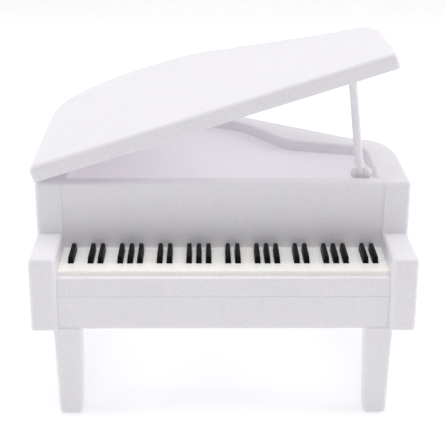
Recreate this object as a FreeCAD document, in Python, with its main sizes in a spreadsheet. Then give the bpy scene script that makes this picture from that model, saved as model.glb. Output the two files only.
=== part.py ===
import FreeCAD, Part
import math
import os
import re

import Sketcher
from FreeCAD import Rotation, Vector

# A miniature grand piano at 1:12, in millimetres, +Z up.
# The bodies are drawn in case coordinates: x to the treble side from the middle of the keyboard, y back from
# the front of the arms, z up from the underside of the case. Each Placement then moves them into the part's
# frame, whose origin is on the surface that the feet stand on, below the middle of the footprint.

DRIVING_SIZES = {
    # case
    "case_width": 120,
    "case_height": 41.5,
    "leg_length": 30.5,
    "tail_y": 113.4,
    "shell": 1.6,
    "seam": 0.02,
    "lip_seam": 0.08,
    "slack": 0.1,
    "edge_radius": 1.4,
    "bottom_radius": 0.5,
    # outline of the case, from the treble side round to the tail
    "cheek_start": 51.6,
    "cheek_radius": 32.4,
    "cheek_turn": 23,
    "corner_radius": 12,
    "corner_turn": 50,
    "waist_radius": 22,
    "waist_turn": 20,
    "tail_radius": 34,
    "spine_radius": 28.8,
    # opening in the top of the case
    "opening_half": 49.7,
    "opening_front": 26.3,
    "opening_tail": 98.5,
    "opening_straight": 55.6,
    "opening_corner_radius": 7,
    "opening_corner_turn": 75,
    "opening_shoulder": 19.2,
    "opening_waist_radius": 9,
    "opening_waist_turn": 43,
    "opening_tail_radius": 28,
    "opening_spine_radius": 20,
    "opening_edge_radius": 1.0,
    "coaming": 1.2,
    "recess": 3.6,
    "soundboard_thickness": 1.5,
    # arms, key slip, keybed and tray
    "arm_inner": 51.6,
    "arm_depth": 22.2,
    "arm_height": 24,
    "peg_radius": 1.15,
    "peg_slack": 0.05,
    "peg_reach": 0.8,
    "slip_front": 1.9,
    "slip_back": 4.3,
    "slip_top": 17.05,
    "slip_radius": 0.7,
    "seam_height": 10.9,
    "keybed_thickness": 1.5,
    "keybed_back": 30,
    "tray_thickness": 2.0,
    "rib_x": 20,
    # fallboard
    "fallboard_bottom": 18.5,
    "fallboard_lean": 1.6,
    "fallboard_back_radius": 0.3,
    # keys
    "key_pitch": 3.1,
    "white_count": 33,
    "white_front": 4.8,
    "white_back": 25.8,
    "white_top": 18.4,
    "white_radius": 0.4,
    "key_end_margin": 0.35,
    "groove_width": 0.14,
    "groove_depth": 0.3,
    "black_width": 1.9,
    "black_front": 11.0,
    "black_back": 23.3,
    "black_rise": 2.1,
    "black_radius": 0.7,
    "comb_thickness": 1.6,
    "comb_margin": 1.2,
    "comb_gap": 0.4,
    "key_boss_bore": 4,
    # legs
    "leg_top": 8.8,
    "leg_foot": 7.2,
    "leg_x": 48.9,
    "leg_y": 6.0,
    "rear_leg_x": -22,
    "rear_leg_y": 92,
    "leg_radius": 1.2,
    "foot_radius": 1.2,
    "tenon": 5.0,
    "tenon_height": 4.0,
    "tenon_shift": 1.6,
    "leg_bore": 6,
    # lid
    "lid_tilt": 18,
    "lid_front": 20.4,
    "lid_thickness": 5.3,
    "lid_skin": 1.4,
    "lid_edge_radius": 1.8,
    "lid_front_radius": 1.4,
    "lid_gap": 0.2,
    # lid hinges
    "hinge_front_y": 40,
    "hinge_rear_y": 74,
    "knuckle_radius": 1.4,
    "knuckle_length": 3.0,
    "lid_knuckle_length": 5.4,
    "knuckle_gap": 0.3,
    "hinge_pin_radius": 0.6,
    "running_clearance": 0.05,
    # lid prop
    "prop_x": 44.1,
    "prop_y": 28.8,
    "pivot_rise": 1.0,
    "prop_radius": 1.35,
    "prop_lean": 6.7,
    "prop_eye_radius": 1.5,
    "prop_eye_width": 2.0,
    "prop_flat_height": 2.6,
    "prop_tip_gap": 0.15,
    "prop_tip_radius": 0.9,
    "prop_pin_radius": 0.6,
    "pin_head_radius": 1.0,
    "pin_head_height": 0.5,
    "rest_gap": 0.5,
    "rest_wall": 1.0,
    "rest_depth": 1.4,
    # bracket at the foot of the prop
    "ball_radius": 1.9,
    "ball_x": 2.1,
    "neck_half": 1.2,
    "ear_width": 1.05,
    "ear_gap": 0.3,
    "plate_thickness": 1.2,
    "plate_left": 3.4,
    "plate_right": 4.2,
    "plate_front": 1.8,
    "boss_y": 3.4,
    "boss_radius": 1.7,
    "boss_height": 2.6,
    "boss_roof": 0.4,
    # screws
    "screw_radius": 1.0,
    "screw_head_radius": 1.9,
    "screw_head_height": 1.0,
    "cross_width": 0.5,
    "cross_length": 2.3,
    "cross_depth": 0.6,
    "head_slack": 0.2,
    "counterbore": 1.1,
    "case_screw_length": 7.5,
    "keyboard_screw_length": 5,
    "leg_screw_length": 8,
    # posts for the case screws
    "post_radius": 2.6,
    "post_bore": 8,
    "side_post_x": 54.8,
}

# Places of repeated things, in case coordinates.
CASE_SCREW_PLACES = [
    ("side_post_x", "34"),
    ("side_post_x", "50"),
    ("-side_post_x", "34"),
    ("-side_post_x", "83"),
    ("rear_leg_x", "105.2"),
]
TENON_PLACES = [
    ("tenon_shift - leg_x", "leg_y"),
    ("leg_x - tenon_shift", "leg_y"),
    ("rear_leg_x", "rear_leg_y"),
]
PLAIN_KEY_GAPS = [5, 16, 26]      # gaps between white keys that have no black key, where the strip is screwed
FIRST_BLACK_GAP = 1               # the keyboard starts at A, so its first black key is in the first gap
OCTAVE_BLACK_GAPS = [3, 4, 6, 7, 8]
LAST_BLACK_GAPS = [31, 32]
OCTAVES = 4
OCTAVE_LENGTH = "7 * key_pitch"
KEYBOARD_SCREW_Y = "(black_front + black_back) / 2"
PEG_LEVELS = ["arm_height / 4", "arm_height * 3 / 4"]

doc = FreeCAD.newDocument("miniature_grand_piano")
sizes = doc.addObject("Spreadsheet::Sheet", "Sizes")


def fill_sheet():
    """Write each driving size into the spreadsheet, with its alias."""
    for row, (alias, number) in enumerate(DRIVING_SIZES.items(), start=1):
        sizes.set(f"A{row}", alias)
        sizes.set(f"B{row}", str(number))
        sizes.setAlias(f"B{row}", alias)
    doc.recompute()


def bound(text):
    """The same formula with every alias written as a reference to the sheet."""
    def reference(match):
        word = match[0]
        return f"Sizes.{word}" if word in DRIVING_SIZES else word
    return re.sub(r"[a-z]\w*", reference, str(text))


def value(text):
    """The number that a formula in aliases comes to."""
    return float(sizes.evalExpression(str(text)))


def bind(thing, prop, text):
    thing.setExpression(prop, bound(text))


# ---------------------------------------------------------------------------------------------- sketches


def new_body(name):
    body = doc.addObject("PartDesign::Body", name)
    body.Label = name
    return body


def origin_feature(body, role):
    return next(feature for feature in body.Origin.OriginFeatures if feature.Role == role)


def new_sketch(body, name, plane="XY_Plane", height=None, shift_x=None):
    """An empty sketch on one of the body's planes, at a height along the plane's normal."""
    sketch = body.newObject("Sketcher::SketchObject", name)
    sketch.AttachmentSupport = (origin_feature(body, plane), [""])
    sketch.MapMode = "FlatFace"
    if height is not None:
        bind(sketch, "AttachmentOffset.Base.z", height)
    if shift_x is not None:
        bind(sketch, "AttachmentOffset.Base.x", shift_x)
    return sketch


def constrain(sketch, kind, *arguments, to=None):
    """Add a constraint; with to, its size is that formula in the sheet's aliases."""
    if to is None:
        sketch.addConstraint(Sketcher.Constraint(kind, *arguments))
        return
    number = value(to)
    if kind == "Angle":
        number = math.radians(number)
        to = f"({to}) * 1 deg"
    index = sketch.addConstraint(Sketcher.Constraint(kind, *arguments, number))
    bind(sketch, f"Constraints[{index}]", to)


def pin_x(sketch, edge, end, to):
    constrain(sketch, "DistanceX", -1, 1, edge, end, to=to)


def pin_y(sketch, edge, end, to):
    constrain(sketch, "DistanceY", -1, 1, edge, end, to=to)


def rectangle(sketch, left, front, right, back):
    x0, y0, x1, y1 = (value(text) for text in (left, front, right, back))
    corners = [Vector(x0, y0), Vector(x1, y0), Vector(x1, y1), Vector(x0, y1)]
    edges = [sketch.addGeometry(Part.LineSegment(corners[i], corners[(i + 1) % 4])) for i in range(4)]
    for i, edge in enumerate(edges):
        constrain(sketch, "Coincident", edge, 2, edges[(i + 1) % 4], 1)
        constrain(sketch, "Vertical" if i % 2 else "Horizontal", edge)
    pin_x(sketch, edges[0], 1, left)
    pin_y(sketch, edges[0], 1, front)
    pin_x(sketch, edges[2], 1, right)
    pin_y(sketch, edges[2], 1, back)


def circle(sketch, x, y, radius):
    edge = sketch.addGeometry(Part.Circle(Vector(value(x), value(y)), Vector(0, 0, 1), value(radius)))
    constrain(sketch, "Radius", edge, to=radius)
    pin_x(sketch, edge, 3, x)
    pin_y(sketch, edge, 3, y)


def obround(sketch, x, front, back, radius):
    """A slot along y with round ends, from front to back."""
    centre_x, reach = value(x), value(radius)
    low, high = value(front) + reach, value(back) - reach
    up = Vector(0, 0, 1)
    far = sketch.addGeometry(Part.ArcOfCircle(Part.Circle(Vector(centre_x, high), up, reach), 0, math.pi))
    near = sketch.addGeometry(
        Part.ArcOfCircle(Part.Circle(Vector(centre_x, low), up, reach), math.pi, 2 * math.pi)
    )
    left = sketch.addGeometry(
        Part.LineSegment(Vector(centre_x - reach, high), Vector(centre_x - reach, low))
    )
    right = sketch.addGeometry(
        Part.LineSegment(Vector(centre_x + reach, low), Vector(centre_x + reach, high))
    )
    constrain(sketch, "Tangent", far, 2, left, 1)
    constrain(sketch, "Tangent", left, 2, near, 1)
    constrain(sketch, "Tangent", near, 2, right, 1)
    constrain(sketch, "Tangent", right, 2, far, 1)
    constrain(sketch, "Vertical", left)
    constrain(sketch, "Radius", far, to=radius)
    pin_x(sketch, far, 3, x)
    pin_y(sketch, far, 3, f"{back} - ({radius})")
    pin_y(sketch, near, 3, f"{front} + ({radius})")


def polygon(sketch, points):
    """A closed outline of straight edges; every corner is placed by two formulas."""
    corners = [Vector(value(x), value(y)) for x, y in points]
    edges = [
        sketch.addGeometry(Part.LineSegment(corner, corners[(i + 1) % len(corners)]))
        for i, corner in enumerate(corners)
    ]
    for i, edge in enumerate(edges):
        constrain(sketch, "Coincident", edge, 2, edges[(i + 1) % len(edges)], 1)
        pin_x(sketch, edge, 1, points[i][0])
        pin_y(sketch, edge, 1, points[i][1])


class Outline:
    """Draws an outline edge by edge, each edge tangent to the one before it."""

    def __init__(self, sketch, x, y, heading):
        self.sketch = sketch
        self.point = Vector(value(x), value(y))
        self.heading = heading
        self.last = None

    def join(self, edge, start, end):
        if self.last is not None:
            constrain(self.sketch, "Tangent", *self.last, edge, start)
        self.last = (edge, end)
        return edge

    def run(self, length):
        angle = math.radians(self.heading)
        target = self.point + Vector(math.cos(angle), math.sin(angle)) * length
        edge = self.sketch.addGeometry(Part.LineSegment(self.point, target))
        self.point = target
        return self.join(edge, 1, 2)

    def bend(self, radius, turn):
        """An arc of this radius that turns left by turn degrees, or right if turn is negative."""
        reach = value(radius)
        side = 1 if turn > 0 else -1
        normal = math.radians(self.heading - 90 * side)
        centre = self.point - Vector(math.cos(normal), math.sin(normal)) * reach
        finish = normal + math.radians(turn)
        ends = (normal, finish) if side > 0 else (finish, normal)
        edge = self.sketch.addGeometry(Part.ArcOfCircle(Part.Circle(centre, Vector(0, 0, 1), reach), *ends))
        constrain(self.sketch, "Radius", edge, to=radius)
        self.point = centre + Vector(math.cos(finish), math.sin(finish)) * reach
        self.heading += turn
        return self.join(edge, *((1, 2) if side > 0 else (2, 1)))


def piano_outline(sketch, half, front, tail, straight, bends, tail_radius, spine_radius):
    """The grand piano's plan: straight treble side, bends, bentside, tail, spine and straight front.

    bends holds (radius, turn) arcs and (length, None) straights between the treble side and the bentside.
    """
    outline = Outline(sketch, half, front, 90)
    treble = outline.run(value(straight) - value(front))
    constrain(sketch, "Vertical", treble)
    pin_x(sketch, treble, 1, half)
    pin_y(sketch, treble, 1, front)
    pin_y(sketch, treble, 2, straight)
    for size, turn in bends:
        if turn is None:
            shoulder = outline.run(value(size))
            constrain(sketch, "Distance", shoulder, to=size)
            continue
        bend = outline.bend(size, value(turn))
        constrain(sketch, "Angle", bend, to=turn.strip("-"))
    left_to_turn = 180 - outline.heading
    rise = value(tail_radius) * (1 - math.cos(math.radians(left_to_turn)))
    outline.run((value(tail) - rise - outline.point.y) / math.sin(math.radians(outline.heading)))
    outline.bend(tail_radius, left_to_turn)
    end = outline.run(outline.point.x + value(half) - value(spine_radius))
    constrain(sketch, "Horizontal", end)
    pin_y(sketch, end, 1, tail)
    outline.bend(spine_radius, 90)
    spine = outline.run(outline.point.y - value(front))
    constrain(sketch, "Vertical", spine)
    pin_x(sketch, spine, 1, f"-({half})")
    face = sketch.addGeometry(Part.LineSegment(outline.point, Vector(value(half), value(front))))
    constrain(sketch, "Coincident", spine, 2, face, 1)
    constrain(sketch, "Coincident", face, 2, treble, 1)
    constrain(sketch, "Horizontal", face)


def case_outline(sketch, inset, front):
    """The plan of the case, drawn in by inset, or out where inset is negative."""
    piano_outline(
        sketch,
        f"case_width / 2 - ({inset})",
        front,
        f"tail_y - ({inset})",
        "cheek_start",
        [
            (f"cheek_radius - ({inset})", "cheek_turn"),
            (f"corner_radius - ({inset})", "corner_turn"),
            (f"waist_radius + ({inset})", "-waist_turn"),
        ],
        f"tail_radius - ({inset})",
        f"spine_radius - ({inset})",
    )


def opening_outline(sketch, outset, front):
    """The plan of the opening in the top of the case, drawn out by outset."""
    piano_outline(
        sketch,
        f"opening_half + ({outset})",
        front,
        f"opening_tail + ({outset})",
        "opening_straight",
        [
            (f"opening_corner_radius + ({outset})", "opening_corner_turn"),
            ("opening_shoulder", None),
            (f"opening_waist_radius - ({outset})", "-opening_waist_turn"),
        ],
        f"opening_tail_radius + ({outset})",
        f"opening_spine_radius + ({outset})",
    )


# ---------------------------------------------------------------------------------------------- features


def pad(body, sketch, name, length, down=False, both_ways=False):
    feature = body.newObject("PartDesign::Pad", name)
    feature.Profile = sketch
    bind(feature, "Length", length)
    feature.Reversed = down
    if both_ways:
        feature.SideType = "Symmetric"
    doc.recompute()
    return feature


def pocket(body, sketch, name, length, up=False, both_ways=False):
    """Cut a sketch's outline away; the cut goes against the sketch's normal, or along it where up is true."""
    before = body.Shape.Volume
    feature = body.newObject("PartDesign::Pocket", name)
    feature.Profile = sketch
    bind(feature, "Length", length)
    feature.Reversed = up
    if both_ways:
        feature.SideType = "Symmetric"
    doc.recompute()
    if body.Shape.Volume > before - 1e-4:
        raise RuntimeError(f"{name} cuts nothing")
    return feature


def fillet(body, name, radius, choose):
    """Round every edge of the body's present shape for which choose(edge) is true."""
    base = body.Tip
    edges = [f"Edge{i}" for i, edge in enumerate(base.Shape.Edges, start=1) if choose(edge)]
    if not edges:
        raise RuntimeError(f"{name} found no edge")
    feature = body.newObject("PartDesign::Fillet", name)
    feature.Base = (base, edges)
    bind(feature, "Radius", radius)
    doc.recompute()
    return feature


def flat_at(height, tolerance=1e-3):
    """Chooses edges that lie at one height."""
    def choose(edge):
        box = edge.BoundBox
        return abs(box.ZMin - height) < tolerance and abs(box.ZMax - height) < tolerance
    return choose


def on_plane_y(edge, y):
    box = edge.BoundBox
    return abs(box.YMin - y) < 1e-3 and abs(box.YMax - y) < 1e-3


def top_edge_at(height, y):
    """Chooses the edges along x that lie at this height and this y."""
    return lambda edge: flat_at(height)(edge) and on_plane_y(edge, y)


def above(sketch, height):
    """Chooses the edges at this height that lie straight above the sketch's own edges."""
    middles = [edge.CenterOfMass for edge in sketch.Shape.Edges]

    def choose(edge):
        middle = edge.CenterOfMass
        offsets = [math.hypot(middle.x - other.x, middle.y - other.y) for other in middles]
        return flat_at(height)(edge) and min(offsets) < 1e-3
    return choose


def is_upright(edge):
    box = edge.BoundBox
    return box.XLength < 1e-3 and box.YLength < 1e-3 and box.ZLength > 1


def place(thing, x="0", y="0", z="0"):
    """Put something drawn about its own origin at a point in case coordinates, in the part's frame."""
    bind(thing, "Placement.Base.x", x)
    bind(thing, "Placement.Base.y", f"({y}) - tail_y / 2")
    bind(thing, "Placement.Base.z", f"({z}) + leg_length")


def turn(thing, axis, angle):
    """Turn a placed thing about one of its own axes by an angle from the sheet."""
    thing.Placement.Rotation = Rotation(axis, value(angle))
    for name, part in zip("xyz", axis):
        bind(thing, f"Placement.Rotation.Axis.{name}", part)
    bind(thing, "Placement.Rotation.Angle", f"({angle}) * 1 deg")


# ---------------------------------------------------------------------------------------------- case


def make_case_rim():
    """The moulded outer shell: wall, top flange and the coaming round the opening, open at the front."""
    body = new_body("case_rim")
    sketch = new_sketch(body, "rim_plan")
    case_outline(sketch, "0", "arm_depth")
    pad(body, sketch, "rim_block", "case_height")
    front = value("arm_depth")

    def front_corner(edge):
        return is_upright(edge) and on_plane_y(edge, front)
    fillet(body, "rim_front_corners", "edge_radius", front_corner)
    fillet(body, "rim_top_edge", "edge_radius", flat_at(value("case_height")))

    sketch = new_sketch(body, "rim_hollow_plan")
    case_outline(sketch, "shell", "arm_depth + shell")
    pocket(body, sketch, "rim_hollow", "case_height - shell", up=True)

    sketch = new_sketch(body, "coaming_plan", height="case_height - recess")
    opening_outline(sketch, "coaming", "opening_front - coaming")
    pad(body, sketch, "coaming", "recess - shell / 2")
    sketch = new_sketch(body, "opening_plan")
    opening_outline(sketch, "0", "opening_front")
    pocket(body, sketch, "opening", "case_height", up=True)
    on_opening = above(sketch, value("case_height"))
    fillet(body, "opening_edge", "opening_edge_radius", on_opening)

    sketch = new_sketch(body, "post_plan", height="tray_thickness")
    for x, y in CASE_SCREW_PLACES:
        circle(sketch, x, y, "post_radius")
    pad(body, sketch, "posts", "case_height - tray_thickness - shell / 2")
    sketch = new_sketch(body, "post_bore_plan", height="tray_thickness")
    for x, y in CASE_SCREW_PLACES:
        circle(sketch, x, y, "screw_radius")
    pocket(body, sketch, "post_bores", "post_bore", up=True)

    sketch = new_sketch(body, "front_opening_plan")
    rectangle(sketch, "-arm_inner", "arm_depth - shell", "arm_inner", "opening_front")
    pocket(body, sketch, "front_opening", "case_height", up=True)
    sketch = new_sketch(body, "peg_hole_plan", plane="XZ_Plane", height="-arm_depth")
    for side in ("", "-"):
        for level in PEG_LEVELS:
            circle(sketch, f"{side}(arm_inner + case_width / 2) / 2", level, "peg_radius + peg_slack")
    pocket(body, sketch, "peg_holes", "shell")

    add_case_knuckles(body)
    place(body)
    return body


def add_case_knuckles(body):
    """Two hinges on the spine side: room for the lid's knuckle, and a case knuckle at each end of it."""
    for hinge in ("hinge_front_y", "hinge_rear_y"):
        half = "lid_knuckle_length / 2 + knuckle_gap"
        sketch = new_sketch(body, f"{hinge}_room_plan", plane="XZ_Plane", height=f"-({hinge} - ({half}))")
        circle(sketch, "-case_width / 2", "case_height + lid_gap", "knuckle_radius + knuckle_gap")
        pocket(body, sketch, f"{hinge}_room", f"2 * ({half})")
        for end, start in (
            ("front", f"{hinge} - ({half}) - knuckle_length"),
            ("back", f"{hinge} + ({half})"),
        ):
            sketch = new_sketch(body, f"{hinge}_{end}_plan", plane="XZ_Plane", height=f"-({start})")
            circle(sketch, "-case_width / 2", "case_height + lid_gap", "knuckle_radius")
            pad(body, sketch, f"{hinge}_{end}", "knuckle_length", down=True)
            sketch = new_sketch(body, f"{hinge}_{end}_bore_plan", plane="XZ_Plane", height=f"-({start})")
            circle(sketch, "-case_width / 2", "case_height + lid_gap", "hinge_pin_radius")
            pocket(body, sketch, f"{hinge}_{end}_bore", "knuckle_length")


def make_soundboard():
    """The flat panel under the coaming, which closes the case from above."""
    body = new_body("soundboard")
    sketch = new_sketch(body, "soundboard_plan", height="case_height - recess")
    opening_outline(sketch, "coaming", "opening_front - coaming")
    pad(body, sketch, "soundboard_panel", "soundboard_thickness", down=True)
    sketch = new_sketch(body, "bracket_screw_hole_plan", height="case_height - recess")
    circle(sketch, "prop_x", "prop_y + boss_y", "screw_radius + slack")
    pocket(body, sketch, "bracket_screw_hole", "soundboard_thickness")
    place(body)
    return body


def make_fallboard():
    """The leaning panel behind the keys, with its own strip of the top flange and of the coaming."""
    body = new_body("fallboard")
    sketch = new_sketch(body, "fallboard_section", plane="YZ_Plane")
    polygon(sketch, [
        ("arm_depth", "case_height"),
        ("arm_depth + fallboard_lean", "fallboard_bottom"),
        ("arm_depth + fallboard_lean + shell", "fallboard_bottom"),
        ("arm_depth + shell", "case_height - shell"),
        ("opening_front - coaming", "case_height - shell"),
        ("opening_front - coaming", "case_height - recess"),
        ("opening_front", "case_height - recess"),
        ("opening_front", "case_height"),
    ])
    pad(body, sketch, "fallboard_panel", "2 * (arm_inner - seam)", both_ways=True)
    for name, y, radius in (
        ("fallboard_front_edge", value("arm_depth"), "edge_radius"),
        ("fallboard_back_edge", value("opening_front"), "fallboard_back_radius"),
    ):
        fillet(body, name, radius, top_edge_at(value("case_height"), y))
    place(body)
    return body


def make_arm(name, side):
    """A hollow arm beside the keyboard, with two pegs that plug into the front of the rim."""
    body = new_body(name)
    left, right = ("arm_inner", "case_width / 2") if side > 0 else ("-case_width / 2", "-arm_inner")
    sketch = new_sketch(body, f"{name}_plan")
    rectangle(sketch, left, "0", right, "arm_depth")
    pad(body, sketch, f"{name}_block", "arm_height")
    back = value("arm_depth")
    at_bottom = flat_at(0)
    fillet(body, f"{name}_edges", "edge_radius", lambda e: not on_plane_y(e, back) and not at_bottom(e))
    fillet(body, f"{name}_bottom_edges", "bottom_radius", lambda e: not on_plane_y(e, back) and at_bottom(e))
    sketch = new_sketch(body, f"{name}_hollow_plan")
    rectangle(sketch, f"{left} + shell", "shell", f"{right} - shell", "arm_depth - shell")
    pocket(body, sketch, f"{name}_hollow", "arm_height - shell", up=True)
    sketch = new_sketch(body, f"{name}_peg_plan", plane="XZ_Plane", height="-(arm_depth - shell / 2)")
    middle = f"({left} + {right}) / 2"
    for level in PEG_LEVELS:
        circle(sketch, middle, level, "peg_radius")
    pad(body, sketch, f"{name}_pegs", "shell * 3 / 2 + peg_reach", down=True)
    place(body)
    return body


def make_base_tray():
    """The lower shell: floor, front lip up to the seam, ribs under the keybed and sockets for the legs."""
    body = new_body("base_tray")
    sketch = new_sketch(body, "tray_floor_plan")
    case_outline(sketch, "shell + seam", "arm_depth + shell + seam")
    pad(body, sketch, "tray_floor", "tray_thickness")
    sketch = new_sketch(body, "tray_front_plan")
    rectangle(sketch, "-(arm_inner - seam)", "slip_front", "arm_inner - seam", "arm_depth + 2 * shell")
    pad(body, sketch, "tray_front", "tray_thickness")
    sketch = new_sketch(body, "tray_lip_plan")
    rectangle(sketch, "-(arm_inner - seam)", "slip_front", "arm_inner - seam", "slip_front + shell")
    pad(body, sketch, "tray_lip", "seam_height - lip_seam")
    sketch = new_sketch(body, "tray_rib_plan")
    for side in ("-", ""):
        rectangle(sketch, f"{side}rib_x - shell / 2", "slip_back", f"{side}rib_x + shell / 2", "arm_depth")
    pad(body, sketch, "tray_ribs", "seam_height")

    sketch = new_sketch(body, "socket_block_plan")
    for x, y in TENON_PLACES:
        rectangle(
            sketch,
            f"{x} - tenon / 2 - shell", f"{y} - tenon / 2 - shell",
            f"{x} + tenon / 2 + shell", f"{y} + tenon / 2 + shell",
        )
    pad(body, sketch, "socket_blocks", "tenon_height + shell")
    sketch = new_sketch(body, "socket_plan")
    for x, y in TENON_PLACES:
        rectangle(
            sketch,
            f"{x} - tenon / 2 - slack", f"{y} - tenon / 2 - slack",
            f"{x} + tenon / 2 + slack", f"{y} + tenon / 2 + slack",
        )
    pocket(body, sketch, "sockets", "tenon_height + slack", up=True)
    sketch = new_sketch(body, "screw_hole_plan")
    for x, y in TENON_PLACES + CASE_SCREW_PLACES:
        circle(sketch, x, y, "screw_radius + slack")
    pocket(body, sketch, "screw_holes", "tenon_height + 2 * shell", up=True)
    sketch = new_sketch(body, "counterbore_plan")
    for x, y in CASE_SCREW_PLACES:
        circle(sketch, x, y, "screw_head_radius + head_slack")
    pocket(body, sketch, "counterbores", "counterbore", up=True)
    place(body)
    return body


def make_key_slip():
    """The upper strip in front of the keys, above the seam."""
    body = new_body("key_slip")
    sketch = new_sketch(body, "key_slip_section", plane="YZ_Plane")
    polygon(sketch, [
        ("slip_front", "seam_height"),
        ("slip_back", "seam_height"),
        ("slip_back", "slip_top"),
        ("slip_front", "slip_top"),
    ])
    pad(body, sketch, "key_slip_strip", "2 * (arm_inner - seam)", both_ways=True)
    top = value("slip_top")
    for name, y in (("key_slip_front_edge", "slip_front"), ("key_slip_back_edge", "slip_back")):
        fillet(body, name, "slip_radius", top_edge_at(top, value(y)))
    place(body)
    return body


def make_keybed():
    """The shelf that carries the keyboard."""
    body = new_body("keybed")
    sketch = new_sketch(body, "keybed_plan", height="seam_height")
    rectangle(sketch, "-(arm_inner - seam)", "slip_back", "arm_inner - seam", "keybed_back")
    pad(body, sketch, "keybed_shelf", "keybed_thickness")
    sketch = new_sketch(body, "keybed_hole_plan", height="seam_height")
    for gap in PLAIN_KEY_GAPS:
        circle(sketch, gap_x(gap), KEYBOARD_SCREW_Y, "screw_radius + slack")
    pocket(body, sketch, "keybed_holes", "keybed_thickness", up=True)
    place(body)
    return body


# ---------------------------------------------------------------------------------------------- keyboard


def gap_x(gap):
    """The x of a boundary between white keys, counted from the bass end."""
    return f"({gap} - white_count / 2) * key_pitch"


def black_slots(sketch, gaps, slack):
    for gap in gaps:
        radius = f"black_width / 2 + ({slack})"
        obround(sketch, gap_x(gap), f"black_front - ({slack})", f"black_back + ({slack})", radius)


def repeat(body, features, name, length, count):
    """Repeat features along x, evenly over a length."""
    pattern = body.newObject("PartDesign::LinearPattern", name)
    pattern.Originals = features
    pattern.Direction = (origin_feature(body, "X_Axis"), [""])
    bind(pattern, "Length", length)
    pattern.Occurrences = count
    body.Tip = pattern
    doc.recompute()
    return pattern


def make_white_keys():
    """The row of white keys: one hollow strip, with grooves between keys and slots for the black keys."""
    body = new_body("white_keys")
    half = "(white_count * key_pitch / 2 + key_end_margin)"
    floor = "seam_height + keybed_thickness"
    sketch = new_sketch(body, "white_plan", height=floor)
    rectangle(sketch, f"-{half}", "white_front", half, "white_back")
    pad(body, sketch, "white_block", f"white_top - ({floor})")
    front_top = top_edge_at(value("white_top"), value("white_front"))
    fillet(body, "white_front_edge", "white_radius", front_top)
    sketch = new_sketch(body, "white_hollow_plan", height=floor)
    rectangle(sketch, f"-{half} + shell", "white_front + shell", f"{half} - shell", "white_back - shell")
    pocket(body, sketch, "white_hollow", f"white_top - shell - ({floor})", up=True)
    sketch = new_sketch(body, "white_boss_plan", height=floor)
    for gap in PLAIN_KEY_GAPS:
        circle(sketch, gap_x(gap), KEYBOARD_SCREW_Y, "key_pitch / 2")
    pad(body, sketch, "white_bosses", f"white_top - shell / 2 - ({floor})")
    sketch = new_sketch(body, "white_boss_bore_plan", height=floor)
    for gap in PLAIN_KEY_GAPS:
        circle(sketch, gap_x(gap), KEYBOARD_SCREW_Y, "screw_radius")
    pocket(body, sketch, "white_boss_bores", "key_boss_bore", up=True)

    sketch = new_sketch(body, "slot_plan", height="white_top")
    black_slots(sketch, OCTAVE_BLACK_GAPS, "slack")
    slots = pocket(body, sketch, "slots", "2 * shell")
    repeat(body, [slots], "slot_octaves", f"{OCTAVES - 1} * {OCTAVE_LENGTH}", OCTAVES)
    sketch = new_sketch(body, "end_slot_plan", height="white_top")
    black_slots(sketch, [FIRST_BLACK_GAP] + LAST_BLACK_GAPS, "slack")
    pocket(body, sketch, "end_slots", "2 * shell")

    sketch = new_sketch(body, "groove_plan", height="white_top")
    first = gap_x(1)
    left, right = f"{first} - groove_width / 2", f"{first} + groove_width / 2"
    rectangle(sketch, left, "white_front - shell", right, "white_back")
    groove = pocket(body, sketch, "groove", "groove_depth")
    count = int(value("white_count")) - 1
    repeat(body, [groove], "grooves", f"{count - 1} * key_pitch", count)
    place(body)
    return body


def make_black_keys():
    """The black keys on one comb, which stands up through the slots of the white strip."""
    body = new_body("black_keys")
    comb_top = "white_top - shell"
    sketch = new_sketch(body, "comb_plan", height=comb_top)
    half = "white_count * key_pitch / 2 - shell - comb_gap"
    rectangle(sketch, f"-({half})", "black_front - comb_margin", half, "white_back - shell - comb_gap")
    pad(body, sketch, "comb", "comb_thickness", down=True)
    sketch = new_sketch(body, "comb_hole_plan", height=comb_top)
    for gap in PLAIN_KEY_GAPS:
        circle(sketch, gap_x(gap), KEYBOARD_SCREW_Y, "key_pitch / 2 + slack")
    pocket(body, sketch, "comb_holes", "comb_thickness")

    rise = "shell + black_rise"
    sketch = new_sketch(body, "black_plan", height=comb_top)
    black_slots(sketch, OCTAVE_BLACK_GAPS, "0")
    keys = pad(body, sketch, "black_octave", rise)
    repeat(body, [keys], "black_octaves", f"{OCTAVES - 1} * {OCTAVE_LENGTH}", OCTAVES)
    sketch = new_sketch(body, "black_end_plan", height=comb_top)
    black_slots(sketch, [FIRST_BLACK_GAP] + LAST_BLACK_GAPS, "0")
    pad(body, sketch, "black_ends", rise)
    fillet(body, "black_tops", "black_radius", flat_at(value(f"{comb_top} + {rise}")))
    place(body)
    return body


# ---------------------------------------------------------------------------------------------- legs


def make_leg(name, x, y, tenon_x):
    """A square tapered leg with a tenon on top; it is drawn about the middle of its top."""
    body = new_body(name)
    sketch = new_sketch(body, f"{name}_plan")
    half = "leg_top / 2"
    rectangle(sketch, f"-{half}", f"-{half}", half, half)
    block = pad(body, sketch, f"{name}_taper", "leg_length", down=True)
    bind(block, "TaperAngle", "-atan((leg_top - leg_foot) / 2 / leg_length)")
    doc.recompute()
    top = value("leg_length")
    fillet(body, f"{name}_edges", "leg_radius", lambda e: e.BoundBox.ZLength > top - 1)
    fillet(body, f"{name}_foot", "foot_radius", flat_at(-top))
    sketch = new_sketch(body, f"{name}_tenon_plan")
    left, right = f"{tenon_x} - tenon / 2", f"{tenon_x} + tenon / 2"
    rectangle(sketch, left, "-tenon / 2", right, "tenon / 2")
    pad(body, sketch, f"{name}_tenon", "tenon_height")
    sketch = new_sketch(body, f"{name}_bore_plan", height="tenon_height")
    circle(sketch, tenon_x, "0", "screw_radius")
    pocket(body, sketch, f"{name}_bore", "tenon_height + leg_bore")
    place(body, x, y, "0")
    return body


# ---------------------------------------------------------------------------------------------- lid


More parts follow.
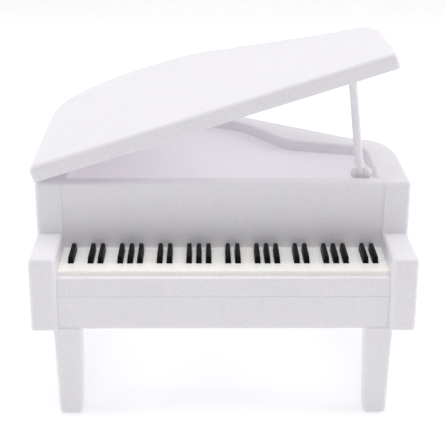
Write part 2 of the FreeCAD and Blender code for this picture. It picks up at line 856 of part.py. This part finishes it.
def make_lid():
    """The hollow lid, drawn closed about its hinge line and then tilted open."""
    body = new_body("lid")
    side = "case_width / 2"
    sketch = new_sketch(body, "lid_plan", shift_x=side)
    case_outline(sketch, "0", "lid_front")
    pad(body, sketch, "lid_block", "lid_thickness")
    front, top = value("lid_front"), value("lid_thickness")
    fillet(body, "lid_edge", "lid_edge_radius", lambda e: flat_at(top)(e) and not on_plane_y(e, front))
    fillet(body, "lid_front_edge", "lid_front_radius", top_edge_at(top, front))

    sketch = new_sketch(body, "lid_hollow_plan", shift_x=side)
    case_outline(sketch, "shell", "lid_front + shell")
    pocket(body, sketch, "lid_hollow", "lid_thickness - lid_skin", up=True)
    add_lid_knuckles(body)
    add_prop_rest(body)
    place(body, f"-{side}", "0", "case_height + lid_gap")
    turn(body, Vector(0, 1, 0), "-lid_tilt")
    return body


def add_lid_knuckles(body):
    """Room for the case's knuckles, and the lid's own knuckle between them, on the hinge line."""
    for hinge in ("hinge_front_y", "hinge_rear_y"):
        near = f"{hinge} - lid_knuckle_length / 2 - knuckle_length - 2 * knuckle_gap"
        far = f"{hinge} + lid_knuckle_length / 2"
        for end, from_y in (("front", near), ("back", far)):
            name = f"lid_{hinge}_{end}_room"
            sketch = new_sketch(body, f"{name}_plan", plane="XZ_Plane", height=f"-({from_y})")
            circle(sketch, "0", "0", "knuckle_radius + knuckle_gap")
            pocket(body, sketch, name, "knuckle_length + 2 * knuckle_gap")
        start = f"-({hinge} - lid_knuckle_length / 2)"
        sketch = new_sketch(body, f"lid_{hinge}_plan", plane="XZ_Plane", height=start)
        circle(sketch, "0", "0", "knuckle_radius")
        pad(body, sketch, f"lid_{hinge}_knuckle", "lid_knuckle_length", down=True)
        sketch = new_sketch(body, f"lid_{hinge}_bore_plan", plane="XZ_Plane", height=start)
        circle(sketch, "0", "0", "hinge_pin_radius + running_clearance")
        pocket(body, sketch, f"lid_{hinge}_bore", "lid_knuckle_length")


def prop_reach():
    """The prop's length from its pivot to the underside of the lid's skin, and its tip's x on the lid."""
    lean, tilt = math.radians(value("prop_lean")), math.radians(value("lid_tilt"))
    run = value("prop_x + case_width / 2")
    rise = value("pivot_rise - lid_gap")
    ceiling = value("lid_thickness - lid_skin")
    # the tip's height above the hinged plane: rise*cos(tilt) - run*sin(tilt) + length*cos(tilt - lean)
    length = (ceiling - rise * math.cos(tilt) + run * math.sin(tilt)) / math.cos(tilt - lean)
    along = run * math.cos(tilt) + rise * math.sin(tilt) + length * math.sin(tilt - lean)
    return length, along


def add_prop_rest(body):
    """A low U on the underside of the lid's skin, open to the back, that keeps the prop's tip in place."""
    along = prop_reach()[1]
    inner, outer = "(prop_radius + rest_gap)", "(prop_radius + rest_gap + rest_wall)"
    sketch = new_sketch(body, "prop_rest_plan", height="lid_thickness - lid_skin / 2")
    polygon(sketch, [
        (f"{along} - {outer}", f"prop_y - {outer}"),
        (f"{along} + {outer}", f"prop_y - {outer}"),
        (f"{along} + {outer}", "prop_y"),
        (f"{along} + {inner}", "prop_y"),
        (f"{along} + {inner}", f"prop_y - {inner}"),
        (f"{along} - {inner}", f"prop_y - {inner}"),
        (f"{along} - {inner}", "prop_y"),
        (f"{along} - {outer}", "prop_y"),
    ])
    pad(body, sketch, "prop_rest", "lid_skin / 2 + rest_depth", down=True)


# ---------------------------------------------------------------------------------------------- prop


def make_prop_stick():
    """The round stick that holds the lid up, drawn about its pivot and leaning to the bass side.

    Its foot has a flat on each side, and ends in the eye that turns on the pin.
    """
    body = new_body("prop_stick")
    length = prop_reach()[0]
    sketch = new_sketch(body, "stick_plan")
    sketch.AttachmentOffset.Rotation = Rotation(Vector(0, 1, 0), -value("prop_lean"))
    circle(sketch, "0", "0", "prop_radius")
    pad(body, sketch, "stick", f"{length} - prop_tip_gap")
    fillet(body, "stick_tip", "prop_tip_radius", lambda e: e.BoundBox.ZMin > length / 2)
    sketch = new_sketch(body, "foot_flat_plan", plane="XZ_Plane")
    flat, outside = "prop_eye_width / 2", "2 * prop_radius"
    rectangle(sketch, flat, "-prop_radius", outside, "prop_flat_height")
    rectangle(sketch, f"-({outside})", "-prop_radius", f"-{flat}", "prop_flat_height")
    pocket(body, sketch, "foot_flats", "4 * prop_radius", both_ways=True)
    sketch = new_sketch(body, "eye_plan", plane="YZ_Plane", height="-prop_eye_width / 2")
    circle(sketch, "0", "0", "prop_eye_radius")
    pad(body, sketch, "eye", "prop_eye_width")
    sketch = new_sketch(body, "eye_bore_plan", plane="YZ_Plane")
    circle(sketch, "0", "0", "prop_pin_radius + running_clearance")
    pocket(body, sketch, "eye_bore", "3 * prop_eye_width", both_ways=True)
    place(body, "prop_x", "prop_y", "case_height + pivot_rise")
    return body


EYE_TO_EAR = "(prop_eye_width / 2 + ear_gap)"


def make_prop_bracket():
    """The foot of the prop: a plate on the soundboard, with an ear and a ball on either side of the eye."""
    body = new_body("prop_bracket")
    drop = "(pivot_rise + recess)"
    sketch = new_sketch(body, "plate_plan", height=f"-{drop}")
    rectangle(sketch, "-plate_left", "-plate_front", "plate_right", "boss_y + boss_radius")
    pad(body, sketch, "plate", "plate_thickness")
    sketch = new_sketch(body, "boss_plan", height=f"-{drop}")
    circle(sketch, "0", "boss_y", "boss_radius")
    pad(body, sketch, "boss", "boss_height")
    sketch = new_sketch(body, "boss_bore_plan", height=f"-{drop}")
    circle(sketch, "0", "boss_y", "screw_radius")
    pocket(body, sketch, "boss_bore", "boss_height - boss_roof", up=True)

    ear_outside = f"-{EYE_TO_EAR} - ear_width"
    sketch = new_sketch(body, "ear_plan", plane="YZ_Plane", height=ear_outside)
    rectangle(sketch, "-prop_eye_radius", f"-{drop}", "prop_eye_radius", "0")
    pad(body, sketch, "ear", "ear_width")
    sketch = new_sketch(body, "ear_top_plan", plane="YZ_Plane", height=ear_outside)
    circle(sketch, "0", "0", "prop_eye_radius")
    pad(body, sketch, "ear_top", "ear_width")

    sketch = new_sketch(body, "neck_plan", height=f"-{drop}")
    rectangle(sketch, EYE_TO_EAR, "-neck_half", "ball_x + neck_half", "neck_half")
    pad(body, sketch, "neck", f"{drop} - ball_radius / 2")
    ball = body.newObject("PartDesign::AdditiveSphere", "ball")
    bind(ball, "Radius", "ball_radius")
    bind(ball, "Placement.Base.x", "ball_x")
    doc.recompute()
    sketch = new_sketch(body, "ball_face_plan", plane="YZ_Plane", height=EYE_TO_EAR)
    rectangle(sketch, "-ball_radius", "-ball_radius", "ball_radius", "ball_radius")
    pocket(body, sketch, "ball_face", EYE_TO_EAR)

    sketch = new_sketch(body, "pin_bore_plan", plane="YZ_Plane", height="ball_x")
    circle(sketch, "0", "0", "prop_pin_radius")
    pocket(body, sketch, "pin_bore", f"ball_x + {EYE_TO_EAR} + 2 * ear_width")
    place(body, "prop_x", "prop_y", "case_height + pivot_rise")
    return body


# ---------------------------------------------------------------------------------------------- fasteners


def cylinder(name, radius, height, z="0"):
    solid = doc.addObject("Part::Cylinder", name)
    bind(solid, "Radius", radius)
    bind(solid, "Height", height)
    bind(solid, "Placement.Base.z", z)
    return solid


def screw(name, x, y, z, length, down=False):
    """A cross-head screw whose shank starts at a point in case coordinates and goes up, or down."""
    head = cylinder(f"{name}_head", "screw_head_radius", "screw_head_height", "-screw_head_height")
    shank = cylinder(f"{name}_shank", "screw_radius", length, "0")
    whole = doc.addObject("Part::Fuse", f"{name}_blank")
    whole.Base, whole.Tool = head, shank
    slots = []
    for across, along in (("Length", "Width"), ("Width", "Length")):
        slot = doc.addObject("Part::Box", f"{name}_slot_{across}")
        bind(slot, across, "cross_width")
        bind(slot, along, "cross_length")
        bind(slot, "Height", "cross_depth")
        bind(slot, "Placement.Base.x", "-cross_width / 2" if across == "Length" else "-cross_length / 2")
        bind(slot, "Placement.Base.y", "-cross_width / 2" if across == "Width" else "-cross_length / 2")
        bind(slot, "Placement.Base.z", "-screw_head_height")
        slots.append(slot)
    cross = doc.addObject("Part::Fuse", f"{name}_cross")
    cross.Base, cross.Tool = slots
    finished = doc.addObject("Part::Cut", name)
    finished.Base, finished.Tool = whole, cross
    place(finished, x, y, z)
    if down:
        turn(finished, Vector(1, 0, 0), "180")
    return finished


def group(name, members):
    """Identical fasteners as one node of separate solids."""
    compound = doc.addObject("Part::Compound", name)
    compound.Label = name
    compound.Links = members
    return compound


def make_fasteners():
    case_screws = [
        screw(f"case_screw_{i}", x, y, "counterbore", "case_screw_length")
        for i, (x, y) in enumerate(CASE_SCREW_PLACES, start=1)
    ]
    keyboard_screws = [
        screw(f"keyboard_screw_{gap}", gap_x(gap), KEYBOARD_SCREW_Y, "seam_height", "keyboard_screw_length")
        for gap in PLAIN_KEY_GAPS
    ]
    leg_screws = [
        screw(f"leg_screw_{i}", x, y, "tenon_height + shell", "leg_screw_length", down=True)
        for i, (x, y) in enumerate(TENON_PLACES, start=1)
    ]
    bracket_screw = screw(
        "prop_bracket_screw",
        "prop_x", "prop_y + boss_y", "case_height - recess - soundboard_thickness",
        "soundboard_thickness + boss_height - 2 * boss_roof",
    )
    bracket_screw.Label = "prop_bracket_screw"
    pins = []
    for hinge in ("hinge_front_y", "hinge_rear_y"):
        length = "lid_knuckle_length + 2 * knuckle_gap + 2 * knuckle_length"
        pin = cylinder(f"pin_{hinge}", "hinge_pin_radius", length)
        place(pin, "-case_width / 2", f"{hinge} - ({length}) / 2", "case_height + lid_gap")
        turn(pin, Vector(1, 0, 0), "-90")
        pins.append(pin)
    return [
        group("case_screws", case_screws),
        group("keyboard_screws", keyboard_screws),
        group("leg_screws", leg_screws),
        bracket_screw,
        group("hinge_pins", pins),
    ]


def make_prop_pin():
    """The pin through the ear, the stick's eye and into the ball, with a small flat head outside the ear."""
    body = new_body("prop_pin")
    ear_outside = f"-{EYE_TO_EAR} - ear_width"
    sketch = new_sketch(body, "pin_plan", plane="YZ_Plane", height=ear_outside)
    circle(sketch, "0", "0", "prop_pin_radius")
    pad(body, sketch, "pin_shank", f"{EYE_TO_EAR} + ear_width + ball_x")
    sketch = new_sketch(body, "pin_head_plan", plane="YZ_Plane", height=ear_outside)
    circle(sketch, "0", "0", "pin_head_radius")
    pad(body, sketch, "pin_head", "pin_head_height", down=True)
    place(body, "prop_x", "prop_y", "case_height + pivot_rise")
    return body


# ---------------------------------------------------------------------------------------------- document


def check_document():
    doc.recompute()
    for thing in doc.Objects:
        if "Invalid" in thing.State or "Error" in thing.State:
            raise RuntimeError(f"{thing.Name} is {thing.State}")


def write_parts(subparts):
    os.makedirs("parts", exist_ok=True)
    for subpart in subparts:
        shape = subpart.Shape
        if shape.isNull() or not shape.isValid() or not shape.Solids:
            raise RuntimeError(f"{subpart.Label} has no valid solid")
        shape.exportStep(f"parts/{subpart.Label}.step")
        print(f"{subpart.Label}: {len(shape.Solids)} solid(s), {shape.Volume:.1f} mm3")


fill_sheet()
subparts = [
    make_case_rim(),
    make_soundboard(),
    make_fallboard(),
    make_arm("left_arm", -1),
    make_arm("right_arm", 1),
    make_base_tray(),
    make_key_slip(),
    make_keybed(),
    make_white_keys(),
    make_black_keys(),
    make_leg("front_left_leg", "-leg_x", "leg_y", "tenon_shift"),
    make_leg("front_right_leg", "leg_x", "leg_y", "-tenon_shift"),
    make_leg("rear_leg", "rear_leg_x", "rear_leg_y", "0"),
    make_lid(),
    make_prop_stick(),
    make_prop_bracket(),
    make_prop_pin(),
]
subparts += make_fasteners()
check_document()
write_parts(subparts)
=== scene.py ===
import math

import bmesh
import bpy
from mathutils import Matrix, Vector


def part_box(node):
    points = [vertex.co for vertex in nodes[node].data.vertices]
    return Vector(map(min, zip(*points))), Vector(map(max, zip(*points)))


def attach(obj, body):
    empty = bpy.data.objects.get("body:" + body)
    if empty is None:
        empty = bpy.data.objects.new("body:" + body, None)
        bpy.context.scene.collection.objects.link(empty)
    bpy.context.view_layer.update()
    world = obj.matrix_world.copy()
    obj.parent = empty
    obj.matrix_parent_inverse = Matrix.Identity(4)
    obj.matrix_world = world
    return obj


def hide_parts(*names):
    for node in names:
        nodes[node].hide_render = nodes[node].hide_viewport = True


# A miniature grand piano in satin white plastic, in metres, +Z up.
# The CAD nodes keep their shapes and get procedural moulded-plastic or metal materials. The two rows of keys
# are made key by key, in the room of the two CAD combs.

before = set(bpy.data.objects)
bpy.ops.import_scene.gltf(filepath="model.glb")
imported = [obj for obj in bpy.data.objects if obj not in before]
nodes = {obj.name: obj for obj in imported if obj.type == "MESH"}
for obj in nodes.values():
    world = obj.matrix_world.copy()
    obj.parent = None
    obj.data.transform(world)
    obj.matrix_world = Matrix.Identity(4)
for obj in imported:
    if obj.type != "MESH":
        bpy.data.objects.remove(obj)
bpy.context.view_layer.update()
MM = 0.001

WHITE_COUNT = 33
KEY_PITCH = 3.1 * MM
KEY_GAP = 0.02 * MM
PLAIN_GAPS = {2, 5, 9, 12, 16, 19, 23, 26, 30}  # gaps between white keys that have no black key
BLACK_ROOM = 1.96 * MM                # room between two white keys for a black key
BLACK_FOOT = (0.88 * MM, 0.92 * MM)   # half width of a black key at its foot: at the back, at the front
BLACK_CREST = (0.68 * MM, 0.74 * MM)  # and at its top
BLACK_SLOPE = 0.75 * MM               # how far the front face leans back
BLACK_SINK = 1.0 * MM                 # how far a black key reaches below the white keys' tops
BLACK_FRONT_INSET = 0.85 * MM         # from the front of the CAD comb to the front of the black keys
BLACK_BACK_INSET = 0.5 * MM

# The width of each row's rounded edges, and the share of it that an edge gets.
WHITE_ROUNDING = 0.45 * MM
LIP_SHARE, TOP_SHARE, CORNER_SHARE = 1.0, 0.1, 0.12
BLACK_ROUNDING = 0.42 * MM
CREST_SHARE, SIDE_SHARE = 1.0, 0.8
ROUNDING_SEGMENTS = 4
SHARP_ANGLE = math.radians(35)        # edges sharper than this stay sharp in the shading

RUBBED_WIDTH = 0.0004                 # how far the wear reaches from an edge, in metres
SCATTER_SCALE = 0.0015                # how far light spreads under the surface, in metres
SCATTER_RADIUS = (1.0, 0.75, 0.88)    # and the share of it that red, green and blue reach
LIGHTS_AIM = Vector((0, 0, 0.06))     # the middle of the piano


# ------------------------------------------------------------------------------------------------ materials


def new_material(name):
    """An empty node material and its shader."""
    material = bpy.data.materials.new(name)
    material.use_nodes = True
    tree = material.node_tree
    tree.nodes.clear()
    output = tree.nodes.new("ShaderNodeOutputMaterial")
    shader = tree.nodes.new("ShaderNodeBsdfPrincipled")
    tree.links.new(shader.outputs["BSDF"], output.inputs["Surface"])
    return material, tree, shader


def noise(tree, scale, detail=4.0, roughness=0.5, stretch=(1, 1, 1)):
    """Noise in object space; scale is in waves per metre, and stretch draws it out along an axis."""
    place = tree.nodes.new("ShaderNodeTexCoord")
    mapping = tree.nodes.new("ShaderNodeMapping")
    mapping.inputs["Scale"].default_value = stretch
    tree.links.new(place.outputs["Object"], mapping.inputs["Vector"])
    texture = tree.nodes.new("ShaderNodeTexNoise")
    texture.inputs["Scale"].default_value = scale
    texture.inputs["Detail"].default_value = detail
    texture.inputs["Roughness"].default_value = roughness
    tree.links.new(mapping.outputs["Vector"], texture.inputs["Vector"])
    return texture.outputs["Fac"]


def ramp(tree, source, low, high, from_low=0.3, from_high=0.7):
    """A number that goes from low to high as source goes from from_low to from_high."""
    node = tree.nodes.new("ShaderNodeMapRange")
    node.inputs["From Min"].default_value = from_low
    node.inputs["From Max"].default_value = from_high
    node.inputs["To Min"].default_value = low
    node.inputs["To Max"].default_value = high
    tree.links.new(source, node.inputs["Value"])
    return node.outputs["Result"]


def mix_colour(tree, factor, first, second):
    """first where factor is 0, second where it is 1; each is a colour or another node's output."""
    node = tree.nodes.new("ShaderNodeMix")
    node.data_type = "RGBA"
    tree.links.new(factor, node.inputs["Factor"])
    for socket, colour in (("A", first), ("B", second)):
        target = next(s for s in node.inputs if s.name == socket and s.type == "RGBA")
        if isinstance(colour, tuple):
            target.default_value = (*colour, 1)
        else:
            tree.links.new(colour, target)
    return next(s for s in node.outputs if s.type == "RGBA")


def add(tree, first, second):
    node = tree.nodes.new("ShaderNodeMath")
    node.operation = "ADD"
    tree.links.new(first, node.inputs[0])
    tree.links.new(second, node.inputs[1])
    return node.outputs[0]


def edge_mask(tree, width):
    """1 on outside edges and 0 on flat surfaces, from the normal of a slightly rounded surface."""
    bevel = tree.nodes.new("ShaderNodeBevel")
    bevel.samples = 4
    bevel.inputs["Radius"].default_value = width
    geometry = tree.nodes.new("ShaderNodeNewGeometry")
    dot = tree.nodes.new("ShaderNodeVectorMath")
    dot.operation = "DOT_PRODUCT"
    tree.links.new(bevel.outputs["Normal"], dot.inputs[0])
    tree.links.new(geometry.outputs["Normal"], dot.inputs[1])
    return ramp(tree, dot.outputs["Value"], 1.0, 0.0, 0.8, 1.0)


def moulded_plastic(name, colour, shade, rub, roughness, gloss=0.0, shine=0.5, glow=0.0, painted_fill_glow=0.0):
    """Injection-moulded plastic: cloudy and speckled, with fine grain, faint wiping marks and rubbed edges.

    glow is the share of light that scatters under the surface; the emission strength is painted light: an
    even glow in the plastic's own colour that lifts its shaded places in place of fill light.
    """
    material, tree, shader = new_material(name)
    clouds = noise(tree, 45, 3)
    streaks = noise(tree, 240, 5, 0.6, stretch=(0.25, 1, 1))
    tint = mix_colour(tree, ramp(tree, clouds, 0, 1), colour, shade)
    flecks = ramp(tree, noise(tree, 2600, 2), 0, 1, 0.32, 0.68)
    speckled = mix_colour(tree, flecks, tint, tuple(0.92 * c for c in shade))
    worn = mix_colour(tree, ramp(tree, edge_mask(tree, RUBBED_WIDTH), 0, 0.5, 0, 1), speckled, rub)
    tree.links.new(worn, shader.inputs["Base Color"])
    tree.links.new(ramp(tree, streaks, roughness - 0.06, roughness + 0.08), shader.inputs["Roughness"])
    shader.inputs["IOR"].default_value = 1.49
    shader.inputs["Specular IOR Level"].default_value = shine
    shader.inputs["Subsurface Weight"].default_value = glow
    shader.inputs["Subsurface Radius"].default_value = SCATTER_RADIUS
    shader.inputs["Subsurface Scale"].default_value = SCATTER_SCALE
    # painted light: the emission is an even glow in the plastic's own colour that lifts the shaded places
    shader.inputs["Emission Color"].default_value = (*colour, 1)
    shader.inputs["Emission Strength"].default_value = painted_fill_glow
    shader.inputs["Coat Weight"].default_value = gloss
    shader.inputs["Coat Roughness"].default_value = 0.12
    peel = noise(tree, 900, 3)
    fine = noise(tree, 5200, 2)
    bump = tree.nodes.new("ShaderNodeBump")
    bump.inputs["Strength"].default_value = 0.55
    bump.inputs["Distance"].default_value = 0.000012
    tree.links.new(add(tree, peel, fine), bump.inputs["Height"])
    tree.links.new(bump.outputs["Normal"], shader.inputs["Normal"])
    return material


def turned_steel(name, colour, roughness):
    """Plated steel with fine turning marks and dull patches."""
    material, tree, shader = new_material(name)
    marks = noise(tree, 2600, 6, 0.7, stretch=(1, 1, 0.15))
    patches = noise(tree, 380, 3)
    dull = tuple(0.72 * c for c in colour)
    tree.links.new(mix_colour(tree, ramp(tree, patches, 0, 1), colour, dull), shader.inputs["Base Color"])
    tree.links.new(ramp(tree, marks, roughness - 0.08, roughness + 0.14), shader.inputs["Roughness"])
    shader.inputs["Metallic"].default_value = 1.0
    bump = tree.nodes.new("ShaderNodeBump")
    bump.inputs["Strength"].default_value = 0.5
    bump.inputs["Distance"].default_value = 0.000008
    tree.links.new(marks, bump.inputs["Height"])
    tree.links.new(bump.outputs["Normal"], shader.inputs["Normal"])
    return material


# The emission strengths below are painted fill light that lifts shade, strongest on the key ivory and the
# soundboard.
WHITE = moulded_plastic(
    "white_plastic", colour=(0.85, 0.834, 0.866), shade=(0.828, 0.811, 0.846), rub=(0.862, 0.848, 0.877),
    roughness=0.4, gloss=0.1, glow=0.3, painted_fill_glow=0.075,
)
# The soundboard is the white plastic tinted lavender-pink as painted bounce light, the tone of the shaded
# interior, with a stronger painted glow that lifts that shade.
SOUNDBOARD_PAINTED_BOUNCE = moulded_plastic(
    "soundboard_painted_bounce", colour=(0.88, 0.845, 0.885), shade=(0.86, 0.825, 0.87), rub=(0.89, 0.87, 0.895),
    roughness=0.42, glow=0.3, painted_fill_glow=0.17,
)
IVORY = moulded_plastic(
    "key_ivory", colour=(0.85, 0.84, 0.81), shade=(0.83, 0.815, 0.785), rub=(0.87, 0.86, 0.835),
    roughness=0.3, gloss=0.2, glow=0.2, painted_fill_glow=0.23,
)
EBONY = moulded_plastic(
    "key_black", colour=(0.004, 0.004, 0.005), shade=(0.006, 0.006, 0.007), rub=(0.012, 0.012, 0.013),
    roughness=0.42, shine=0.08,
)
STEEL = turned_steel("plated_steel", colour=(0.60, 0.60, 0.61), roughness=0.34)

NODE_MATERIALS = {
    WHITE: [
        "case_rim", "fallboard", "left_arm", "right_arm", "base_tray", "key_slip", "keybed",
        "front_left_leg", "front_right_leg", "rear_leg", "lid", "prop_stick", "prop_bracket", "prop_pin",
    ],
    SOUNDBOARD_PAINTED_BOUNCE: ["soundboard"],
    IVORY: ["white_keys"],
    EBONY: ["black_keys"],
    STEEL: ["case_screws", "keyboard_screws", "leg_screws", "prop_bracket_screw", "hinge_pins"],
}


def dress_nodes():
    for material, names in NODE_MATERIALS.items():
        for name in names:
            slots = nodes[name].material_slots
            for slot in slots:
                slot.material = material
            if not slots:
                nodes[name].data.materials.append(material)


# ----------------------------------------------------------------------------------------------------- keys


def key_gap_x(gap):
    """The x of a boundary between white keys, counted from the bass end."""
    return (gap - WHITE_COUNT / 2) * KEY_PITCH


def has_black(gap):
    return 0 < gap < WHITE_COUNT and gap not in PLAIN_GAPS


def prism(mesh, outline, bottom, top):
    """A closed upright prism over an outline, added to a bmesh; returns its top vertices in order."""
    low = [mesh.verts.new((x, y, bottom)) for x, y in outline]
    high = [mesh.verts.new((x, y, top)) for x, y in outline]
    mesh.faces.new(reversed(low))
    mesh.faces.new(high)
    for i in range(len(outline)):
        j = (i + 1) % len(outline)
        mesh.faces.new((low[i], low[j], high[j], high[i]))
    return high


def rounded_piece(name, mesh, weights, width, material):
    """The bmesh as an object, with its edges rounded to width times their weight, riding on the case."""
    data = bpy.data.meshes.new(name)
    mesh.edges.index_update()
    weight_of = {edge.index: weight for edge, weight in weights.items()}
    mesh.to_mesh(data)
    mesh.free()
    layer = data.attributes.new("bevel_weight_edge", "FLOAT", "EDGE")
    for index, weight in weight_of.items():
        layer.data[index].value = weight
    rough = bpy.data.objects.new(name, data)
    bpy.context.scene.collection.objects.link(rough)
    bevel = rough.modifiers.new("rounding", "BEVEL")
    bevel.limit_method = "WEIGHT"
    bevel.width = width
    bevel.segments = ROUNDING_SEGMENTS
    bpy.context.view_layer.update()
    finished = bpy.data.meshes.new_from_object(rough.evaluated_get(bpy.context.evaluated_depsgraph_get()))
    rough.modifiers.clear()
    rough.data = finished
    bpy.data.meshes.remove(data)
    for polygon in finished.polygons:
        polygon.use_smooth = True
    finished.set_sharp_from_angle(angle=SHARP_ANGLE)
    finished.materials.append(material)
    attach(rough, "case")
    return rough


def white_outline(key, low, high, black_front):
    """One white key from above: cut in beside each black key, from the black key's front to the back."""
    left = low.x if key == 0 else key_gap_x(key) + KEY_GAP / 2
    right = high.x if key == WHITE_COUNT - 1 else key_gap_x(key + 1) - KEY_GAP / 2
    shoulder = black_front - KEY_GAP
    outline = [(left, low.y), (right, low.y)]
    if has_black(key + 1):
        waist = key_gap_x(key + 1) - BLACK_ROOM / 2
        outline += [(right, shoulder), (waist, shoulder), (waist, high.y)]
    else:
        outline.append((right, high.y))
    if has_black(key):
        waist = key_gap_x(key) + BLACK_ROOM / 2
        outline += [(waist, high.y), (waist, shoulder), (left, shoulder)]
    else:
        outline.append((left, high.y))
    return outline


def make_white_keys():
    low, high = (Vector(corner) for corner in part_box("white_keys"))
    black_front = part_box("black_keys")[0][1] + BLACK_FRONT_INSET
    mesh = bmesh.new()
    weights = {}
    for key in range(WHITE_COUNT):
        ring = prism(mesh, white_outline(key, low, high, black_front), low.z, high.z)
        for i, vertex in enumerate(ring):
            following = ring[(i + 1) % len(ring)]
            edge = mesh.edges.get((vertex, following))
            weights[edge] = LIP_SHARE if i == 0 else TOP_SHARE
        for vertex in ring[:2]:
            upright = next(e for e in vertex.link_edges if abs(e.other_vert(vertex).co.z - low.z) < 1e-9)
            weights[upright] = CORNER_SHARE
    keys = rounded_piece("white_key_row", mesh, weights, WHITE_ROUNDING, IVORY)
    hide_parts("white_keys")


def make_black_keys():
    """Each black key narrows to its top and to its back, and its front leans back."""
    low, high = (Vector(corner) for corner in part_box("black_keys"))
    front, back = low.y + BLACK_FRONT_INSET, high.y - BLACK_BACK_INSET
    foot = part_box("white_keys")[1][2] - BLACK_SINK
    mesh = bmesh.new()
    weights = {}
    for gap in filter(has_black, range(1, WHITE_COUNT)):
        x = key_gap_x(gap)
        rings = []
        for z, (back_half, front_half), near, far in (
            (foot, BLACK_FOOT, front, back),
            (high.z, BLACK_CREST, front + BLACK_SLOPE, back - BLACK_SLOPE / 2),
        ):
            corners = [(-front_half, near), (front_half, near), (back_half, far), (-back_half, far)]
            rings.append([mesh.verts.new((x + across, y, z)) for across, y in corners])
        mesh.faces.new(reversed(rings[0]))
        mesh.faces.new(rings[1])
        for i in range(4):
            j = (i + 1) % 4
            mesh.faces.new((rings[0][i], rings[0][j], rings[1][j], rings[1][i]))
            weights[mesh.edges.get((rings[1][i], rings[1][j]))] = CREST_SHARE
            weights[mesh.edges.get((rings[0][i], rings[1][i]))] = SIDE_SHARE
    keys = rounded_piece("black_key_row", mesh, weights, BLACK_ROUNDING, EBONY)
    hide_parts("black_keys")


# --------------------------------------------------------------------------------- floor, light and camera


def make_floor():
    """A plain pale floor that curves up far behind the piano."""
    near, depth, rise, radius, half = -1.5, 1.2, 1.0, 0.5, 1.6
    steps = 12
    profile = [(near, 0.0), (depth - radius, 0.0)]
    for step in range(1, steps + 1):
        angle = math.radians(90 * step / steps)
        profile.append((depth - radius + radius * math.sin(angle), radius - radius * math.cos(angle)))
    profile.append((depth, rise))
    mesh = bpy.data.meshes.new("floor")
    vertices = [(x, y, z) for y, z in profile for x in (-half, half)]
    faces = [(2 * i, 2 * i + 1, 2 * i + 3, 2 * i + 2) for i in range(len(profile) - 1)]
    mesh.from_pydata(vertices, [], faces)
    for polygon in mesh.polygons:
        polygon.use_smooth = True
    floor = bpy.data.objects.new("floor", mesh)
    bpy.context.scene.collection.objects.link(floor)
    material, tree, shader = new_material("floor_paper")
    shader.inputs["Base Color"].default_value = (0.97, 0.97, 0.97, 1)
    shader.inputs["Roughness"].default_value = 0.9
    shader.inputs["Emission Color"].default_value = (1, 1, 1, 1)
    shader.inputs["Emission Strength"].default_value = 0.2
    floor.data.materials.append(material)


def soft_light(name, place, size, power):
    """A square white area light that points at the middle of the piano; power is in watts."""
    light = bpy.data.lights.new(name, "AREA")
    light.shape = "SQUARE"
    light.size = size
    light.energy = power
    lamp = bpy.data.objects.new(name, light)
    bpy.context.scene.collection.objects.link(lamp)
    lamp.location = place
    lamp.rotation_euler = (LIGHTS_AIM - Vector(place)).to_track_quat("-Z", "Y").to_euler()


def make_lights():
    """A dim even surround and four softboxes."""
    world = bpy.data.worlds.new("studio")
    bpy.context.scene.world = world
    world.use_nodes = True
    background = world.node_tree.nodes["Background"]
    background.inputs["Color"].default_value = (0.98, 0.98, 1.0, 1)
    background.inputs["Strength"].default_value = 0.31
    soft_light("top_softbox", (0, 0, 0.9), 0.8, 4.3)
    soft_light("left_softbox", (-0.9, 0.1, 0.4), 0.5, 2.6)
    soft_light("right_softbox", (0.9, 0.1, 0.4), 0.5, 3.1)
    soft_light("front_softbox", (0, -0.75, 0.55), 0.5, 0.5)


def make_camera():
    """A long lens in front of the keyboard, a little to the bass side and above the lid."""
    camera = bpy.data.cameras.new("camera")
    camera.sensor_width = 36
    camera.lens = 94.5
    camera.clip_start = 0.01
    camera.clip_end = 20
    viewer = bpy.data.objects.new("camera", camera)
    bpy.context.scene.collection.objects.link(viewer)
    pitch, yaw, roll = math.radians(20.75), math.radians(0.948), math.radians(0.33)
    turned = (
        Matrix.Rotation(-yaw, 4, "Z")
        @ Matrix.Rotation(math.pi / 2 - pitch, 4, "X")
        @ Matrix.Rotation(roll, 4, "Z")
    )
    place = (-0.0060, -0.3860, 0.1913)
    viewer.matrix_world = Matrix.Translation(place) @ turned
    bpy.context.scene.camera = viewer


dress_nodes()
make_white_keys()
make_black_keys()
make_floor()
make_lights()
make_camera()
bpy.context.scene.view_settings.view_transform = "Standard"
